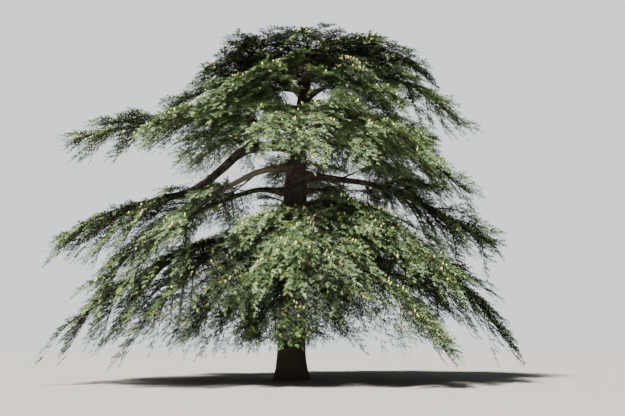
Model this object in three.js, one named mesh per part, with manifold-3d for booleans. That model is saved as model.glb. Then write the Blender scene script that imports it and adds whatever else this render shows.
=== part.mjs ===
// A mature cedar. One trunk stands on a flared foot, boughs leave it in six storeys, and each
// bough ends in a flat mass of foliage that spreads from one stem. Units are millimetres, +Z is
// up, and the origin is on the ground in the middle of the trunk's flat cut. Compass angles are
// seen from above: 0 is to the viewer's right (+X), 90 is away from the viewer (+Y).

import * as THREE from "three";
import { mergeVertices } from "three/addons/utils/BufferGeometryUtils.js";
import Module from "manifold-3d";

const wasm = await Module();
wasm.setup();
const { Manifold, Mesh } = wasm;

// The trunk's driving dimensions. Each station is [height, radius, lean to the right].
const TRUNK_STATIONS = [
  [0, 860, 0],
  [1500, 780, 0],
  [6000, 720, 40],
  [11500, 700, 160],
  [13500, 520, 340],
  [17000, 400, 640],
  [20000, 230, 960],
  [21200, 90, 1060],
];
const TRUNK_SIDES = 16;
const TRUNK_RINGS = 12;
const TRUNK_RING_BUNCHING = 1.5; // over 1, rings stand closer together near the ground
const FLARE_OUT = 330; // how far a root buttress stands out at the ground
const FLARE_BETWEEN = 0.35; // the flare between two buttresses, as a share of that
const FLARE_HEIGHT = 620; // the flare fades by a factor of e over this height
const BUTTRESSES = 5;
const BUTTRESS_TURN = 0.7; // radians

// Limbs and masses.
const LIMB_SIDES = 6;
const LIMB_SEGMENTS = 4;
const STEM_SIDES = 4;
const STEM_SEGMENTS = 4;
const TWIG_SIDES = 3;
const LIMB_SLENDERNESS = 0.02; // a limb's radius at the trunk, as a share of its reach
const LIMB_TAPER = 0.86; // how much of that radius is lost by the tip
const STEM_END = 0.84; // the stem's bar ends here, inside the spray at its tip
const TIP_LENGTH = 0.7; // the length of that spray, as a share of the mass's spread
const TWIG_ANGLE_IN = 66; // degrees between the stem and its first side twigs
const TWIG_ANGLE_OUT = 46; // the same near the tip
const TWIG_TURN = 0.3; // the spread of a twig's turn, pitch and roll about its rule
const TWIG_PITCH = 0.5;
const TWIG_PITCH_DOWN = 0.4; // the share of the pitch's spread that points down
const TWIG_ROLL = 0.8;
const TWIG_LENGTH_SPREAD = 0.2;
const TWIG_PLACE = 0.3; // where a twig leaves its own stretch of the stem
const TWIG_PLACE_SPREAD = 0.3;
const TWIG_TRIES = 12;
const TWIG_SHORTER = 0.03; // each later try at a twig is this much shorter
const TWIG_RADIUS = 48;
const PLATE_START = 0.18; // a mass is as wide as half a sine wave between these two shares
const PLATE_END = 0.75;
const GROUND_CLEAR = 300; // no twig or spray hangs lower than this
const GAP = 0.3; // between a stem and the wood it grows from
const CLEAR = 25; // between one mass and anything that isn't its own
const SPRAY_CLEAR = 10; // between two sprays of one mass
const SLIVER = 0.05; // faces thinner than this are merged into their neighbours
const WELD = 0.01; // corners closer than this become one
const SAME_POINT = 1e-4; // the corners of one closed skin are joined at this distance

// A spray of needles is a toothed blade with a ridge. Each point of its edge is [along,
// across], as shares of its length, and the ridge has two points over the middle line.
const SPRAY_TEETH = [
  [0.17, 0.25],
  [0.3, 0.12],
  [0.46, 0.32],
  [0.6, 0.12],
  [0.76, 0.2],
];
const SPRAY_RIDGE = [0.28, 0.62];
const SPRAY_SPLIT = 2; // the edge point where the strip passes from the first to the second
const SPRAY_OVER = 0.045; // the ridge's height over the edge
const SPRAY_UNDER = 0.02;
const SPRAY_DROOP = 0.9; // how far the edge falls, per squared share of the length
const TWIG_END = 0.4; // the bar of a twig ends inside its spray, at this share
const SPRAY_START = 0.22; // where on its twig a spray begins

// A cone stands upright on the ridge of a spray. Each stands for the group round it, so it is
// about twice as large as one real cone.
const CONE_HEIGHT = 230;
const CONE_RADIUS = 60;
const CONE_SIDES = 5;
const CONE_PROFILE = [
  [0, -0.25],
  [1, 0.25],
  [0.8, 0.75],
  [0, 1],
];

// The boughs, storey by storey. Heights are where the limb leaves the trunk and where the mass
// ends, and reach is from the trunk to that end. lift is how far the limb arches over the
// straight line, bare is the share with no foliage, spread is half the mass's width, droop is
// how far a twig's tip hangs as a share of its length, and twigs and cones are how many the
// mass has.
const STOREYS = {
  top: { lift: 800, bare: 0.08, spread: 2700, droop: 0.12, twigs: 3, cones: 0 },
  dome: { lift: 800, bare: 0.1, spread: 3100, droop: 0.12, twigs: 4, cones: 1 },
  upper: { lift: 800, bare: 0.16, spread: 3500, droop: 0.12, twigs: 4, cones: 1 },
  shoulder: { lift: 1000, bare: 0.2, spread: 3900, droop: 0.15, twigs: 5, cones: 1 },
  middle: { lift: 1100, bare: 0.34, spread: 4500, droop: 0.27, twigs: 5, cones: 1 },
  low: { lift: 1100, bare: 0.36, spread: 4500, droop: 0.32, twigs: 5, cones: 1 },
};
// The great limb on the left drops in one bend, by bend in height between the two shares, and
// is stouter than the rule for its reach.
const LEFT_LIMB = { bare: 0.5, lift: -200, spread: 5200, droop: 0.3, bend: 1700, stout: 1.35 };
const BEND_FROM = 0.22;
const BEND_TO = 0.52;
const FRAME_STEP = 0.004; // a limb's direction is taken between points this far to each side
const BOUGHS = [
  ["top", "leader", 50, 20600, 2200, 20900, { lift: 300, spread: 1700 }],
  ["top", "left", 196, 19800, 4900, 19500],
  ["top", "back", 100, 20200, 4600, 20600],
  ["top", "right", -12, 20000, 5200, 19600],
  ["top", "front", -96, 19700, 4400, 19200],
  ["dome", "left", 200, 18900, 6600, 17800],
  ["dome", "right", -24, 19200, 7400, 17700],
  ["dome", "back_right", 42, 19500, 6800, 19600],
  ["dome", "back_left", 142, 19200, 6800, 19200],
  ["dome", "front", -64, 18200, 6200, 16400],
  ["upper", "left", 187, 18200, 8200, 16000, { bare: 0.3, lift: 500 }],
  ["upper", "right", -6, 18700, 9400, 15400, { bare: 0.3, lift: 900 }],
  ["upper", "front_right", -48, 16900, 7600, 14600],
  ["upper", "front_left", -128, 17100, 7600, 14600],
  ["upper", "back_right", 24, 16400, 9400, 14900],
  ["upper", "back", 84, 17200, 8600, 16400],
  ["upper", "back_left", 142, 17700, 8400, 17200],
  ["shoulder", "left", 190, 15000, 13000, 13500, { bare: 0.22, lift: 600, twigs: 6 }],
  ["shoulder", "front_left", 222, 15700, 10000, 12700, { lift: 400, spread: 3300 }],
  ["shoulder", "front", -93, 14700, 8200, 11200],
  ["shoulder", "front_right", -50, 14300, 9800, 10900],
  ["shoulder", "right", -9, 13800, 9800, 10800, { lift: 1400 }],
  ["shoulder", "back_right", 36, 14200, 10600, 12200, { twigs: 4 }],
  ["shoulder", "back", 88, 13400, 10200, 11900, { twigs: 4 }],
  ["shoulder", "back_left", 138, 15400, 10200, 15000, { twigs: 4 }],
  ["middle", "left", 189, 14000, 13600, 7600, LEFT_LIMB],
  ["middle", "front_left", 213, 12600, 11400, 4800, { bare: 0.4, lift: -600, spread: 4800 }],
  ["middle", "front", -80, 9100, 9300, 5000, { bare: 0.24, lift: 700, spread: 5000 }],
  ["middle", "front_right", -45, 9900, 10400, 4800, { bare: 0.24, lift: 600, spread: 4600 }],
  ["middle", "right", 4, 12000, 12400, 7800, { lift: 150 }],
  ["middle", "back_right", 56, 11000, 11600, 8200, { twigs: 4 }],
  ["middle", "back", 104, 10200, 11000, 7500, { twigs: 4 }],
  ["middle", "back_left", 156, 10900, 10400, 8400, { lift: 700, twigs: 4 }],
  ["low", "left", 202, 8000, 11800, 3100, { lift: 300, spread: 5200, droop: 0.42 }],
  ["low", "front_left", 230, 8200, 10400, 2800, { lift: 500, spread: 4800 }],
  ["low", "front", -96, 6900, 7800, 2100, { lift: 800, bare: 0.24, spread: 5000, droop: 0.44 }],
  ["low", "front_right", -55, 6700, 10800, 2200, { lift: 900 }],
  ["low", "right", -18, 7700, 11600, 2500, { lift: 1500 }],
  ["low", "back_right", 30, 8000, 11800, 4600, { twigs: 4 }],
  ["low", "back", 80, 6600, 10800, 2600, { twigs: 4 }],
  ["low", "back_left", 128, 7300, 11200, 2900, { twigs: 4 }],
];
const SEED = 7919;
const OWN_LIMB_FROM = 0.23; // a limb that is bare for less than this is its mass's own stem

const BARK = { color: 0x4a3b33, roughness: 0.95, metalness: 0 };
const FOLIAGE = { color: 0x5c7663, roughness: 0.85, metalness: 0 };

// A seeded sequence of numbers from 0 to 1, the same on every run.
const SEQUENCE_FACTOR = 1664525;
const SEQUENCE_STEP = 1013904223;
function sequence(seed) {
  let state = seed >>> 0;
  return () => {
    state = (Math.imul(state, SEQUENCE_FACTOR) + SEQUENCE_STEP) >>> 0;
    return state / 2 ** 32;
  };
}

function between(table, column, height) {
  const next = table.findIndex((row) => row[0] >= height);
  if (next <= 0) return table[next === 0 ? 0 : table.length - 1][column];
  const [low, high] = [table[next - 1], table[next]];
  return THREE.MathUtils.mapLinear(height, low[0], high[0], low[column], high[column]);
}

// A closed geometry becomes a solid that can be joined and cut.
function toSolid(geometry) {
  const bare = geometry.clone();
  bare.deleteAttribute("normal");
  bare.deleteAttribute("uv");
  const merged = mergeVertices(bare, SAME_POINT);
  const solid = new Manifold(
    new Mesh({
      numProp: 3,
      vertProperties: merged.getAttribute("position").array,
      triVerts: new Uint32Array(merged.index.array),
    }),
  );
  if (solid.volume() <= 0) throw new Error("a solid is empty or inside out");
  return solid;
}

// Corners that nearly meet are welded, and a face that this leaves with no area is dropped.
function toGeometry(solid) {
  const mesh = solid.getMesh();
  const loose = new THREE.BufferGeometry();
  loose.setAttribute("position", new THREE.BufferAttribute(mesh.vertProperties, 3));
  loose.setIndex(new THREE.BufferAttribute(mesh.triVerts, 1));
  const geometry = mergeVertices(loose, WELD);
  const corners = geometry.index.array;
  const kept = [];
  for (let i = 0; i < corners.length; i += 3) {
    const [a, b, c] = corners.slice(i, i + 3);
    if (a !== b && b !== c && c !== a) kept.push(a, b, c);
  }
  geometry.setIndex(kept);
  geometry.computeVertexNormals();
  return geometry;
}

// A closed bar of unit size and length, bent so that its rings follow place(share, x, y).
function bentBar(sides, segments, place) {
  const rim = Array.from({ length: sides }, (_, i) => (2 * Math.PI * i) / sides);
  const section = new THREE.Shape(rim.map((a) => new THREE.Vector2(Math.cos(a), Math.sin(a))));
  const bar = new THREE.ExtrudeGeometry(section, { depth: 1, steps: segments, bevelEnabled: false });
  const position = bar.getAttribute("position");
  for (let i = 0; i < position.count; i += 1) {
    const at = place(position.getZ(i), position.getX(i), position.getY(i));
    position.setXYZ(i, at.x, at.y, at.z);
  }
  return bar;
}

function trunkAxis(height) {
  return new THREE.Vector3(between(TRUNK_STATIONS, 2, height), 0, height);
}

function trunkRadius(height, angle) {
  const lobe = 0.5 + 0.5 * Math.cos(BUTTRESSES * angle + BUTTRESS_TURN);
  const out = FLARE_OUT * THREE.MathUtils.lerp(FLARE_BETWEEN, 1, lobe);
  return between(TRUNK_STATIONS, 1, height) + out * Math.exp(-height / FLARE_HEIGHT);
}

// Rings stand closer together in the flare than higher up.
function trunkGeometry(extra) {
  const top = TRUNK_STATIONS.at(-1)[0];
  return bentBar(TRUNK_SIDES, TRUNK_RINGS, (share, x, y) => {
    const height = top * share ** TRUNK_RING_BUNCHING;
    const radius = trunkRadius(height, Math.atan2(y, x)) + extra;
    return trunkAxis(height).add(new THREE.Vector3(x, y, 0).multiplyScalar(radius));
  });
}

// The line that a limb and then its mass's stem follow, from the trunk's axis to the tip.
class LimbLine {
  constructor(compass, base, reach, tip, { lift, bend = 0, stout = 1 }) {
    const angle = THREE.MathUtils.degToRad(compass);
    this.out = new THREE.Vector3(Math.cos(angle), Math.sin(angle), 0);
    this.root = trunkAxis(base);
    this.reach = reach;
    this.fall = tip - base;
    this.lift = lift;
    this.bend = bend;
    this.thickness = reach * LIMB_SLENDERNESS * stout;
  }
  point(share) {
    const step = 2 * (1 - share) * THREE.MathUtils.smoothstep(share, BEND_FROM, BEND_TO);
    const rise = this.fall * share ** 2 + 4 * this.lift * share * (1 - share) - this.bend * step;
    return this.root
      .clone()
      .addScaledVector(this.out, this.reach * share)
      .add(new THREE.Vector3(0, 0, rise));
  }
  frame(share) {
    const along = this.point(share + FRAME_STEP).sub(this.point(share - FRAME_STEP)).normalize();
    const side = new THREE.Vector3().crossVectors(along, new THREE.Vector3(0, 0, 1)).normalize();
    const up = new THREE.Vector3().crossVectors(side, along);
    return { along, side, up };
  }
  radius(share) {
    return this.thickness * (1 - LIMB_TAPER * share);
  }
}

// The piece of a limb line from one share to another, drawn back by trim at its start.
function limbGeometry(line, from, to, sides, segments, trim = 0) {
  return bentBar(sides, segments, (share, x, y) => {
    const at = THREE.MathUtils.lerp(from, to, share);
    const { along, side, up } = line.frame(at);
    const radius = line.radius(at);
    return line
      .point(at)
      .addScaledVector(up, x * radius)
      .addScaledVector(side, y * radius)
      .addScaledVector(along, share === 0 ? trim : 0);
  });
}

// A side twig leaves the stem at an angle and sags towards its tip.
function twigPoint(twig, share) {
  const sag = twig.droop * twig.length * share ** 2;
  return twig.root
    .clone()
    .addScaledVector(twig.along, twig.length * share)
    .add(new THREE.Vector3(0, 0, -sag));
}

function twigFrame(twig, share, roll = 0) {
  const along = twig.along.clone();
  along.z -= 2 * twig.droop * share;
  along.normalize();
  const side = new THREE.Vector3().crossVectors(along, twig.up).normalize();
  side.applyAxisAngle(along, roll);
  return { along, side, up: new THREE.Vector3().crossVectors(side, along) };
}

// A twig's bar is a three-sided spike from the middle of the stem into its spray.
const SPIKE_AXIS = new THREE.Vector3(0, 1, 0);
function twigSolid(twig) {
  const tip = twigPoint(twig, TWIG_END);
  const spike = new THREE.ConeGeometry(TWIG_RADIUS, tip.distanceTo(twig.root), TWIG_SIDES);
  const direction = tip.clone().sub(twig.root).normalize();
  spike.applyQuaternion(new THREE.Quaternion().setFromUnitVectors(SPIKE_AXIS, direction));
  spike.translate(...tip.add(twig.root).multiplyScalar(0.5).toArray());
  return toSolid(spike);
}

// The blade is one outline with a ridge of two points over it and two under it. Each half is
// a strip of faces from the outline to the ridge.
function spraySolid(place) {
  const rim = [[0, 0], ...SPRAY_TEETH, [1, 0]];
  const points = [];
  const put = (x, y, z) => points.push(place(x, y, z - SPRAY_DROOP * y * y)) - 1;
  const left = rim.map(([x, y]) => put(x, y, 0));
  const right = rim.map(([x, y]) => put(x, -y, 0));
  const over = SPRAY_RIDGE.map((x) => put(x, 0, SPRAY_OVER));
  const under = SPRAY_RIDGE.map((x) => put(x, 0, -SPRAY_UNDER));
  const faces = [];
  const skin = (edge, ridge, turn) => {
    const face = (a, b, c) => faces.push(...(turn ? [a, c, b] : [a, b, c]));
    for (let i = 0; i + 1 < edge.length; i += 1) {
      face(edge[i], ridge[i < SPRAY_SPLIT ? 0 : 1], edge[i + 1]);
    }
    face(edge[SPRAY_SPLIT], ridge[0], ridge[1]);
  };
  skin(left, over, true);
  skin(right, over, false);
  skin(left, under, false);
  skin(right, under, true);
  const geometry = new THREE.BufferGeometry().setFromPoints(points);
  geometry.setIndex(faces);
  return toSolid(geometry);
}

function coneSolid(foot) {
  const profile = CONE_PROFILE.map(([r, h]) => new THREE.Vector2(r * CONE_RADIUS, h * CONE_HEIGHT));
  const cone = new THREE.LatheGeometry(profile, CONE_SIDES);
  cone.rotateX(Math.PI / 2);
  cone.translate(foot.x, foot.y, foot.z);
  return toSolid(cone);
}

// How wide a mass is, from where it starts (0) to its end (1), as a share of its spread.
function plateWidth(share) {
  return Math.sin(Math.PI * THREE.MathUtils.lerp(PLATE_START, PLATE_END, share));
}

// The twigs of one mass leave its stem alternately left and right, by a seeded rule. A later
// try at the same twig is a little shorter, and turned and rolled another way.
function twigAt(line, bough, index, tries, random) {
  const share = (index + TWIG_PLACE + TWIG_PLACE_SPREAD * random()) / bough.twigs;
  const tipStart = 1 - (bough.spread * TIP_LENGTH) / line.reach;
  const rootShare = THREE.MathUtils.lerp(bough.bare, tipStart, share);
  const { along, side, up } = line.frame(rootShare);
  const degrees = THREE.MathUtils.lerp(TWIG_ANGLE_IN, TWIG_ANGLE_OUT, share);
  const angle = THREE.MathUtils.degToRad(degrees) + TWIG_TURN * (random() - 0.5);
  const hand = index % 2 === 0 ? 1 : -1;
  const heading = along
    .multiplyScalar(Math.cos(angle))
    .addScaledVector(side, hand * Math.sin(angle))
    .addScaledVector(up, TWIG_PITCH * (random() - TWIG_PITCH_DOWN))
    .normalize();
  const roll = TWIG_ROLL * (random() - 0.5);
  const size = (1 - TWIG_SHORTER * tries) * (1 + TWIG_LENGTH_SPREAD * (random() - 0.5));
  const length = bough.spread * plateWidth(share) * size;
  return { root: line.point(rootShare), along: heading, up, roll, length, droop: bough.droop };
}

// Whatever a new piece mustn't touch is kept in one list, with the mass that it belongs to.
const standing = [];

function boxesMeet(a, b) {
  return [0, 1, 2].every(
    (k) => a.min[k] - CLEAR <= b.max[k] && b.min[k] - CLEAR <= a.max[k],
  );
}

function isFree(solid, owner) {
  const box = solid.boundingBox();
  if (box.min[2] < GROUND_CLEAR) return false;
  return standing
    .filter((other) => other.owner !== owner && boxesMeet(box, other.box))
    .every((other) => solid.minGap(other.solid, CLEAR) >= CLEAR);
}

function keep(solid, owner) {
  standing.push({ solid, owner, box: solid.boundingBox() });
}

// The stem of a mass and the spray at the stem's tip.
function spineOf(bough) {
  const { line } = bough;
  const start = bough.ownLimb ? bough.bare : 0;
  const stem = toSolid(limbGeometry(line, start, STEM_END, STEM_SIDES, STEM_SEGMENTS, GAP));
  const tipLength = bough.spread * TIP_LENGTH;
  const tipSpray = spraySolid((x, y, z) => {
    const at = 1 - (tipLength * (1 - x)) / line.reach;
    const { side, up } = line.frame(at);
    return line.point(at).addScaledVector(side, y * tipLength).addScaledVector(up, z * tipLength);
  });
  return { stem: bough.ownLimb ? stem : stem.subtract(trunkClearance), tipSpray };
}

// A mass is its spine and twigs that each end in a spray. A twig that would touch a limb,
// another mass or another spray is tried again, and then left out.
function massSolid(bough, { stem, tipSpray }, seed) {
  const { line } = bough;
  const random = sequence(seed);
  const sprays = [tipSpray];
  const parts = [stem, tipSpray];
  for (let index = 0; index < bough.twigs; index += 1) {
    for (let tries = 0; tries < TWIG_TRIES; tries += 1) {
      const twig = twigAt(line, bough, index, tries, random);
      const length = twig.length * (1 - SPRAY_START);
      const place = (x, y, z) => {
        const at = THREE.MathUtils.lerp(SPRAY_START, 1, x);
        const { side, up } = twigFrame(twig, at, twig.roll);
        return twigPoint(twig, at).addScaledVector(side, y * length).addScaledVector(up, z * length);
      };
      const bar = twigSolid(twig);
      const spray = spraySolid(place);
      if (!isFree(bar, bough) || !isFree(spray, bough)) continue;
      if (sprays.some((other) => other.minGap(spray, SPRAY_CLEAR) < SPRAY_CLEAR)) continue;
      if (sprays.some((other) => other !== tipSpray && other.minGap(bar, GAP) < GAP)) continue;
      sprays.push(spray);
      parts.push(bar, spray);
      if (sprays.length <= bough.cones + 1) parts.push(coneSolid(place(SPRAY_RIDGE[0], 0, SPRAY_OVER)));
      break;
    }
  }
  return Manifold.union(parts)
    .asOriginal()
    .simplify(SLIVER)
    .decompose()
    .sort((a, b) => b.volume() - a.volume())[0];
}

function named(name, geometry, look) {
  const mesh = new THREE.Mesh(geometry, new THREE.MeshStandardMaterial(look));
  mesh.name = name;
  return mesh;
}

const cedar = new THREE.Group();
const trunk = toSolid(trunkGeometry(0));
const trunkClearance = toSolid(trunkGeometry(GAP));
keep(trunk);
cedar.add(named("trunk", toGeometry(trunk), BARK));

const boughs = BOUGHS.map(([storey, place, compass, base, reach, tip, own]) => {
  const shape = { ...STOREYS[storey], ...own };
  return {
    ...shape,
    name: `${storey}_${place}`,
    ownLimb: shape.bare > OWN_LIMB_FROM,
    line: new LimbLine(compass, base, reach, tip, shape),
  };
});

for (const bough of boughs.filter((each) => each.ownLimb)) {
  const limb = toSolid(limbGeometry(bough.line, 0, bough.bare, LIMB_SIDES, LIMB_SEGMENTS));
  const cut = limb.subtract(trunkClearance);
  keep(cut);
  cedar.add(named(`bough_${bough.name}`, toGeometry(cut), BARK));
}

const spines = boughs.map(spineOf);
spines.forEach(({ stem, tipSpray }, index) => {
  keep(stem, boughs[index]);
  keep(tipSpray, boughs[index]);
});
boughs.forEach((bough, index) => {
  const mass = massSolid(bough, spines[index], SEED * (index + 1));
  keep(mass, bough);
  cedar.add(named(`mass_${bough.name}`, toGeometry(mass), FOLIAGE));
});

export default cedar;
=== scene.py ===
# %% [markdown]
# # A mature cedar
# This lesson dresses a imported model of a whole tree: one trunk, long boughs in storeys, and
# flat tiers of needle foliage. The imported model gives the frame, so nothing here is fitted
# by eye. The wood and the foliage are grown again along the same lines as the solids, and
# carried on to finer twigs. Everything is in metres, with Z up and the origin on the ground
# in the middle of the trunk.

import math

import bpy
import numpy as np
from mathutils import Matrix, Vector


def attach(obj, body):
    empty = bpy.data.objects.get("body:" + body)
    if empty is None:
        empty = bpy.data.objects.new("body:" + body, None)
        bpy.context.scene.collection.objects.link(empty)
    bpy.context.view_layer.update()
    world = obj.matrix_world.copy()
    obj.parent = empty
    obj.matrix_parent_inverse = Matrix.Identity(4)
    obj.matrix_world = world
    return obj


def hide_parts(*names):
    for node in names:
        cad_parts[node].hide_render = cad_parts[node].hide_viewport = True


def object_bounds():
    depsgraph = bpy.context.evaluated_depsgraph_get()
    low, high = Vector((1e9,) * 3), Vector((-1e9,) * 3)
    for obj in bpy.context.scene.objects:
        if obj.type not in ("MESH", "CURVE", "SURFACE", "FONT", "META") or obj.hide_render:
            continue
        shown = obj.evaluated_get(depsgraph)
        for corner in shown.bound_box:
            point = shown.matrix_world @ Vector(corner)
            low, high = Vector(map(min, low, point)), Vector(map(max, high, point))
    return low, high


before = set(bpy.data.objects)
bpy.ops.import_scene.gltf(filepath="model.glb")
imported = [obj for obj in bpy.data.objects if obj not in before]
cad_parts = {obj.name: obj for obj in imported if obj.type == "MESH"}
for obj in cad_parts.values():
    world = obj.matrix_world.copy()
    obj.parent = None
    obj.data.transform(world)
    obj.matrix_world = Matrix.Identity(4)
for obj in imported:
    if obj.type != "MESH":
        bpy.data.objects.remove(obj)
cad_box = [list(corner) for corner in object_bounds()]
NODES = sorted(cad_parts)
BOUGH_NODES = [name for name in NODES if name.startswith("bough_")]
MASS_NODES = [name for name in NODES if name.startswith("mass_")]
print("frame:", len(BOUGH_NODES), "boughs,", len(MASS_NODES), "masses, box", cad_box)

# %% [markdown]
# ## Sizes
# A tree is a rule with a few sizes, so the sizes come first. The trunk is a short table of
# heights, radii and lean. A storey's row says how far its limbs arch (lift), which share of
# them has no foliage (bare), how long its side branches are (spread), how much they hang
# (droop), how steeply they may start (rise), how far apart they stand (every) and how much
# lighter or darker its needles are painted, which is painted light and shade
# (base_tone). A bough's row says where it leaves the trunk, its compass angle, how
# far it reaches and where its tip ends. After that it says what differs from its storey: its
# own tone, which is painted light and shade too, a denser growth, an S bend, a stouter limb,
# or an inner part whose needles are painted lighter, as painted light where the storeys above
# shade it. Writing the tables once and looping over them keeps the wood, the twigs and the
# needles in step.

# %% Trunk sizes
TRUNK_STATIONS = np.array([  # height, radius, lean to the right
    [0.0, 0.86, 0.0],
    [1.5, 0.78, 0.0],
    [6.0, 0.72, 0.04],
    [11.5, 0.70, 0.16],
    [13.5, 0.52, 0.34],
    [17.0, 0.40, 0.64],
    [20.0, 0.23, 0.96],
    [21.2, 0.09, 1.06],
])
FLARE_OUT = 0.33
FLARE_BETWEEN = 0.35
FLARE_HEIGHT = 0.62
BUTTRESSES = 5
BUTTRESS_TURN = 0.7
print("trunk sizes:", len(TRUNK_STATIONS), "stations up to", TRUNK_STATIONS[-1, 0], "m")

# %% Storey sizes
# The last column is painted light and shade: it deals a whole storey's needles lighter or darker tints,
# darkest at the top of the crown.
STOREYS = {
    "top": dict(lift=0.8, bare=0.08, spread=2.7, droop=0.12, rise=0.12, every=0.19, base_tone=-0.4),
    "dome": dict(lift=0.8, bare=0.1, spread=3.1, droop=0.12, rise=0.25, every=0.23, base_tone=-0.28),
    "upper": dict(lift=0.8, bare=0.16, spread=3.5, droop=0.12, rise=0.35, every=0.28, base_tone=0.0),
    "shoulder": dict(lift=1.0, bare=0.2, spread=3.9, droop=0.15, rise=0.4, every=0.27, base_tone=0.12),
    "middle": dict(lift=1.1, bare=0.34, spread=4.5, droop=0.27, rise=0.4, every=0.27, base_tone=0.04),
    "low": dict(lift=1.1, bare=0.36, spread=4.5, droop=0.32, rise=0.4, every=0.27, base_tone=-0.06),
}
print("storeys:", ", ".join(STOREYS))

# %% Bough sizes
# A row's own tone and its inner value are painted light and shade: they deal lighter or darker tints to
# that bough's needles, and inner lightens the part near the trunk.
BOUGHS = [  # storey, place, compass, height at the trunk, reach, height at the tip, own sizes
    ("top", "leader", 50, 20.6, 2.2, 20.9, dict(lift=0.3, spread=1.7)),
    ("top", "left", 196, 19.8, 4.9, 19.5, {}),
    ("top", "back", 100, 20.2, 4.6, 20.6, {}),
    ("top", "right", -12, 20.0, 5.2, 19.6, {}),
    ("top", "front", -96, 19.7, 4.4, 19.2, {}),
    ("dome", "left", 200, 18.9, 6.6, 17.8, {}),
    ("dome", "right", -24, 19.2, 7.4, 17.7, dict(tone=0.12)),
    ("dome", "back_right", 42, 19.5, 6.8, 19.6, {}),
    ("dome", "back_left", 142, 19.2, 6.8, 19.2, {}),
    ("dome", "front", -64, 18.2, 6.2, 16.4, {}),
    ("upper", "left", 187, 18.2, 8.2, 16.0, dict(bare=0.3, lift=0.5, tone=-0.1)),
    ("upper", "right", -6, 18.7, 9.4, 15.4, dict(bare=0.3, lift=0.9, tone=0.26)),
    ("upper", "front_right", -48, 16.9, 7.6, 14.6, dict(tone=0.24)),
    ("upper", "front_left", -128, 17.1, 7.6, 14.6, {}),
    ("upper", "back_right", 24, 16.4, 9.4, 14.9, {}),
    ("upper", "back", 84, 17.2, 8.6, 16.4, {}),
    ("upper", "back_left", 142, 17.7, 8.4, 17.2, {}),
    ("shoulder", "left", 190, 15.0, 13.0, 13.5, dict(bare=0.22, lift=0.6, tone=-0.16)),
    ("shoulder", "front_left", 222, 15.7, 10.0, 12.7, dict(lift=0.4, spread=3.3)),
    ("shoulder", "front", -93, 14.7, 8.2, 11.2, {}),
    ("shoulder", "front_right", -50, 14.3, 9.8, 10.9, {}),
    ("shoulder", "right", -9, 13.8, 9.8, 10.8, dict(lift=1.4)),
    ("shoulder", "back_right", 36, 14.2, 10.6, 12.2, {}),
    ("shoulder", "back", 88, 13.4, 10.2, 11.9, {}),
    ("shoulder", "back_left", 138, 15.4, 10.2, 15.0, {}),
    ("middle", "left", 189, 14.0, 13.6, 7.6,
     dict(bare=0.5, lift=-0.2, spread=5.2, droop=0.3, bend=1.7, stout=1.35, tone=-0.12)),
    ("middle", "front_left", 213, 12.6, 11.4, 4.8, dict(bare=0.4, lift=-0.6, spread=4.8, tone=-0.1)),
    ("middle", "front", -80, 9.1, 9.3, 5.0,
     dict(bare=0.24, lift=0.7, spread=5.0, tone=-0.02, inner=0.3, dense=1.25)),
    ("middle", "front_right", -45, 9.9, 10.4, 4.8, dict(bare=0.24, lift=0.6, spread=4.6)),
    ("middle", "right", 4, 12.0, 12.4, 7.8, dict(lift=0.15)),
    ("middle", "back_right", 56, 11.0, 11.6, 8.2, {}),
    ("middle", "back", 104, 10.2, 11.0, 7.5, {}),
    ("middle", "back_left", 156, 10.9, 10.4, 8.4, dict(lift=0.7)),
    ("low", "left", 202, 8.0, 11.8, 3.1, dict(lift=0.3, spread=5.2, droop=0.42, tone=-0.12)),
    ("low", "front_left", 230, 8.2, 10.4, 2.8, dict(lift=0.5, spread=4.8, tone=-0.24)),
    ("low", "front", -96, 6.9, 7.8, 2.1,
     dict(lift=0.8, bare=0.24, spread=5.0, droop=0.44, tone=-0.06, dense=1.6)),
    ("low", "front_right", -55, 6.7, 10.8, 2.2, dict(lift=0.9, dense=1.3)),
    ("low", "right", -18, 7.7, 11.6, 2.5, dict(lift=1.5, tone=-0.1)),
    ("low", "back_right", 30, 8.0, 11.8, 4.6, {}),
    ("low", "back", 80, 6.6, 10.8, 2.6, {}),
    ("low", "back_left", 128, 7.3, 11.2, 2.9, {}),
]
print("boughs:", len(BOUGHS), "with reaches up to", max(row[4] for row in BOUGHS), "m")

# %% [markdown]
# ## The camera
# The camera stands where the photographer stood: 36 m off, at eye height, looking a little
# up. A lens is a number in millimetres on a 36 mm wide sensor, so the focal length that was
# read from the picture in pixels is scaled by 36 over the picture's width.

# %% The camera
PICTURE_WIDTH = 625
FOCAL_PIXELS = 608
SENSOR = 36.0
CAMERA_PLACE = (0.0, -36.0, 1.6)
CAMERA_PITCH = math.radians(13.2)
CAMERA_YAW = math.radians(1.93)
CAMERA_SEES_TO = 600


def in_scene(name, data):
    """A new object for a camera, light or mesh, linked to the scene."""
    thing = bpy.data.objects.new(name, data)
    bpy.context.scene.collection.objects.link(thing)
    return thing


lens = bpy.data.cameras.new("camera")
lens.sensor_width = SENSOR
lens.lens = SENSOR * FOCAL_PIXELS / PICTURE_WIDTH
lens.clip_end = CAMERA_SEES_TO
camera = in_scene("camera", lens)
camera.location = CAMERA_PLACE
camera.rotation_euler = (math.pi / 2 + CAMERA_PITCH, 0, -CAMERA_YAW)
bpy.context.scene.camera = camera
print("camera: lens", round(lens.lens, 2), "mm")

# %% [markdown]
# ## The light and the floor
# The tree is lit by bright sun from the upper left. One soft sun stands there, and a dim sky
# fills the shadows. The sky that the camera sees is brighter than the sky that lights the
# tree: a Light Path node tells the camera's rays from the rest, so that a pale backdrop
# doesn't wash out the shade. The floor is a plain matt sheet, and it is only a stage. Two
# helpers come first: hex colours are turned to the linear values that Blender works with,
# and one function adds any node with its settings and links.

# %% Colours and nodes
def linear(hex_colour):
    """An sRGB hex colour as linear red, green, blue and alpha."""
    parts = [int(hex_colour[i:i + 2], 16) / 255 for i in (1, 3, 5)]
    return tuple(c / 12.92 if c <= 0.04045 else ((c + 0.055) / 1.055) ** 2.4 for c in parts) + (1.0,)


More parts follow.
